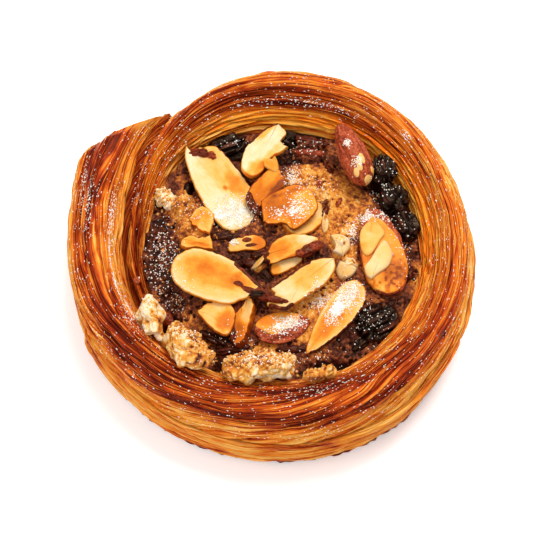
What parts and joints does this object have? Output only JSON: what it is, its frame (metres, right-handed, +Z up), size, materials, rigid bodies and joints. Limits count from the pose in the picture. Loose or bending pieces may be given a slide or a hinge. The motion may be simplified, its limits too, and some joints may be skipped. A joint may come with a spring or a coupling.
{
  "type": "pain aux raisins",
  "caption": "Coiled laminated pastry with a cut loose end, round a well of baked almond filling topped with toasted almond slices, raisins and lumps of crumble",
  "frame": {"origin": "On the table under the middle of the coil, in the flat underside", "axes": "+Z up. The camera of the picture looks from the front, -Y, and above. +X is to the right, and the coil's cut loose end is at the left and back, -X and +Y"},
  "size_m": [0.094, 0.0955, 0.0264],
  "materials": {
    "crust": "browned, egg-glazed laminated dough, layers as ridges along the coil",
    "filling": "baked almond filling, rough and grainy",
    "almond_flesh": "cut face of a toasted almond",
    "almond_skin": "wrinkled almond skin",
    "raisin": "dark wrinkled raisin skin, half gloss",
    "crumble": "baked crumble, porous"
  },
  "bodies": {
    "root": {"pastry": "crust", "filling": "filling", "flake_low": "almond_flesh", "flake_under": "almond_flesh", "flake_back": "almond_flesh", "flake_curved": "almond_flesh", "flake_oval": "almond_flesh", "flake_right": "almond_flesh", "flake_crossing": "almond_flesh", "flake_small": "almond_flesh", "flake_golden": "almond_flesh", "flake_sliver": "almond_flesh", "flake_middle": "almond_flesh", "flake_sugared": "almond_flesh", "chip_upper": "almond_flesh", "chip_lower": "almond_flesh", "almond_whole": "almond_skin", "almond_half": "almond_flesh", "almond_skinned": "almond_flesh", "almond_chunk": "almond_flesh", "raisin_front": "raisin", "raisin_back": "raisin", "raisin_top": "raisin", "raisin_right_a": "raisin", "raisin_right_b": "raisin", "raisin_right_c": "raisin", "crumble_left": "crumble", "crumble_front_left": "crumble", "crumble_front": "crumble", "crumble_rim": "crumble", "crumble_back_left": "crumble"}
  },
  "joints": []
}
